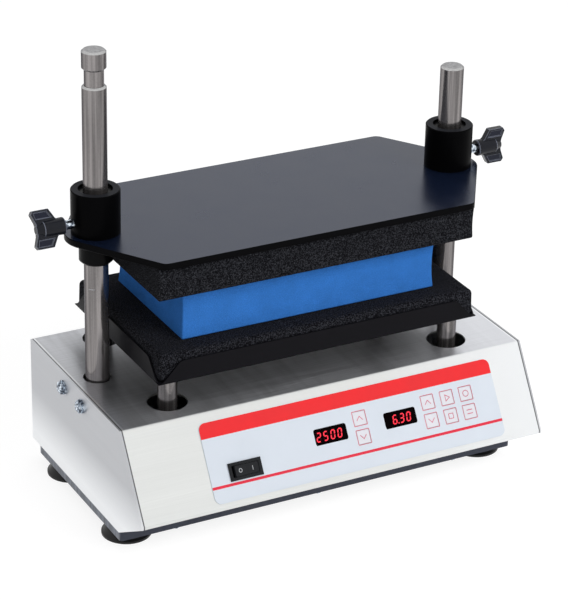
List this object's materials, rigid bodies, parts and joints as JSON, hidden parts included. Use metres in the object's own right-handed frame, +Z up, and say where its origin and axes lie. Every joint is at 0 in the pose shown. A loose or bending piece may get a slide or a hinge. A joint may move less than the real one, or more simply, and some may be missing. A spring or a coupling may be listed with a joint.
{
  "type": "multi-tube vortex mixer",
  "caption": "Bench mixer with an orbiting foam-lined tray, a sliding presser plate on two posts, a foam tube rack and a slanted control face on a steel hood.",
  "frame": {"origin": "centre of the footprint at the feet's underside", "axes": "+Z up, +Y to the back, +X to the operator's right"},
  "size_m": [0.4614, 0.235, 0.42],
  "materials": {
    "stainless": "brushed, horizontal grain",
    "post_steel": "ground and polished",
    "zinc_steel": "bluish zinc plate",
    "base_paint": "satin dark blue-grey",
    "presser_black": "satin black",
    "collar_black": "satin black",
    "sleeve_black": "machined black",
    "knob_plastic": "moulded, slightly glossy",
    "foam_charcoal": "open-cell foam",
    "foam_blue": "closed-cell foam",
    "tray_black": "satin black",
    "rubber_black": "matte",
    "aluminium_parts": "machined",
    "bearing_steel": "ground",
    "drive_steel": "turned",
    "motor_paint": "satin",
    "overlay_blue": "printed film",
    "display_black": "glossy filter",
    "key_pink": "printed film",
    "switch_black": "moulded",
    "board_green": "solder mask",
    "component_black": "moulded"
  },
  "bodies": {
    "chassis": {"base_plate": "base_paint", "rubber_feet": "rubber_black", "base_screws": "zinc_steel", "hood_cover": "stainless", "left_side_panel": "stainless", "right_side_panel": "stainless", "rear_panel": "stainless", "panel_screws": "zinc_steel", "left_post": "post_steel", "right_post": "post_steel", "left_post_block": "aluminium_parts", "right_post_block": "aluminium_parts", "post_block_bolts": "zinc_steel", "idler_pedestals": "aluminium_parts", "fixed_bearings": "bearing_steel", "motor_bracket": "aluminium_parts", "bracket_legs": "aluminium_parts", "motor": "motor_paint", "control_overlay": "overlay_blue", "speed_display": "display_black", "time_display": "display_black", "controller_board": "board_green", "board_standoffs": "aluminium_parts", "key_switches": "component_black", "switch_frame": "switch_black", "power_inlet": "component_black", "fuse_holder": "component_black", "power_board": "board_green", "power_components": "component_black"},
    "presser": {"presser_plate": "presser_black", "presser_pad": "foam_charcoal", "left_collar": "collar_black", "right_collar": "collar_black", "left_sleeve": "sleeve_black", "right_sleeve": "sleeve_black", "collar_screws": "zinc_steel"},
    "left_thumbscrew": {"left_clamp_screw": "zinc_steel", "left_wing_knob": "knob_plastic"},
    "right_thumbscrew": {"right_clamp_screw": "zinc_steel", "right_wing_knob": "knob_plastic"},
    "rack": {"tube_rack": "foam_blue"},
    "orbit_carriage": {"tray": "tray_black", "tray_pad": "foam_charcoal", "tray_posts": "post_steel", "tray_screws": "zinc_steel", "orbit_plate": "aluminium_parts", "plate_bearings": "bearing_steel"},
    "crank": {"crankshaft": "drive_steel", "counterweight": "drive_steel"},
    "left_idler_crank": {"left_idler": "drive_steel"},
    "right_idler_crank": {"right_idler": "drive_steel"},
    "rocker": {"switch_rocker": "switch_black"},
    "key_speed_up": {"key_speed_up": "key_pink"},
    "key_speed_down": {"key_speed_down": "key_pink"},
    "key_time_up": {"key_time_up": "key_pink"},
    "key_time_down": {"key_time_down": "key_pink"},
    "key_run_up": {"key_run_up": "key_pink"},
    "key_run_down": {"key_run_down": "key_pink"},
    "key_mode_up": {"key_mode_up": "key_pink"},
    "key_mode_down": {"key_mode_down": "key_pink"}
  },
  "joints": [
    {"name": "presser_slide", "type": "slide", "parent": "chassis", "child": "presser", "axis": [0, 0, 1], "range_m": [0, 0.131]},
    {"name": "left_thumbscrew_turn", "type": "hinge", "parent": "presser", "child": "left_thumbscrew", "pos_m": [-0.2022, 0.025, 0.268], "axis": [-1, 0, 0], "range_deg": [0, 360]},
    {"name": "right_thumbscrew_turn", "type": "hinge", "parent": "presser", "child": "right_thumbscrew", "pos_m": [0.2022, 0.025, 0.268], "axis": [1, 0, 0], "range_deg": [0, 360]},
    {"name": "crank_spin", "type": "hinge", "parent": "chassis", "child": "crank", "pos_m": [0, 0.025, 0.07], "axis": [0, 0, 1], "continuous": true},
    {"name": "carriage_orbit", "type": "hinge", "parent": "crank", "child": "orbit_carriage", "pos_m": [0.0018, 0.025, 0.088], "axis": [0, 0, 1], "continuous": true},
    {"name": "left_idler_spin", "type": "hinge", "parent": "chassis", "child": "left_idler_crank", "pos_m": [-0.095, 0.025, 0.07], "axis": [0, 0, 1], "continuous": true},
    {"name": "right_idler_spin", "type": "hinge", "parent": "chassis", "child": "right_idler_crank", "pos_m": [0.095, 0.025, 0.07], "axis": [0, 0, 1], "continuous": true},
    {"name": "rack_slide", "type": "slide", "parent": "orbit_carriage", "child": "rack", "axis": [0, -1, 0], "range_m": [0, 0.15]},
    {"name": "rocker_tip", "type": "hinge", "parent": "chassis", "child": "rocker", "pos_m": [-0.094, -0.10145, 0.07172], "axis": [0, 0.5322, 0.8466], "range_deg": [-16, 0]},
    {"name": "key_speed_up_press", "type": "slide", "parent": "chassis", "child": "key_speed_up", "axis": [0, 0.8466, -0.5322], "range_m": [0, 0.0004], "stiffness_N_per_m": 3000},
    {"name": "key_speed_down_press", "type": "slide", "parent": "chassis", "child": "key_speed_down", "axis": [0, 0.8466, -0.5322], "range_m": [0, 0.0004], "stiffness_N_per_m": 3000},
    {"name": "key_time_up_press", "type": "slide", "parent": "chassis", "child": "key_time_up", "axis": [0, 0.8466, -0.5322], "range_m": [0, 0.0004], "stiffness_N_per_m": 3000},
    {"name": "key_time_down_press", "type": "slide", "parent": "chassis", "child": "key_time_down", "axis": [0, 0.8466, -0.5322], "range_m": [0, 0.0004], "stiffness_N_per_m": 3000},
    {"name": "key_run_up_press", "type": "slide", "parent": "chassis", "child": "key_run_up", "axis": [0, 0.8466, -0.5322], "range_m": [0, 0.0004], "stiffness_N_per_m": 3000},
    {"name": "key_run_down_press", "type": "slide", "parent": "chassis", "child": "key_run_down", "axis": [0, 0.8466, -0.5322], "range_m": [0, 0.0004], "stiffness_N_per_m": 3000},
    {"name": "key_mode_up_press", "type": "slide", "parent": "chassis", "child": "key_mode_up", "axis": [0, 0.8466, -0.5322], "range_m": [0, 0.0004], "stiffness_N_per_m": 3000},
    {"name": "key_mode_down_press", "type": "slide", "parent": "chassis", "child": "key_mode_down", "axis": [0, 0.8466, -0.5322], "range_m": [0, 0.0004], "stiffness_N_per_m": 3000}
  ],
  "couplings": [
    {"joint": "carriage_orbit", "follows": "crank_spin", "ratio": -1},
    {"joint": "left_idler_spin", "follows": "crank_spin", "ratio": 1},
    {"joint": "right_idler_spin", "follows": "crank_spin", "ratio": 1}
  ]
}
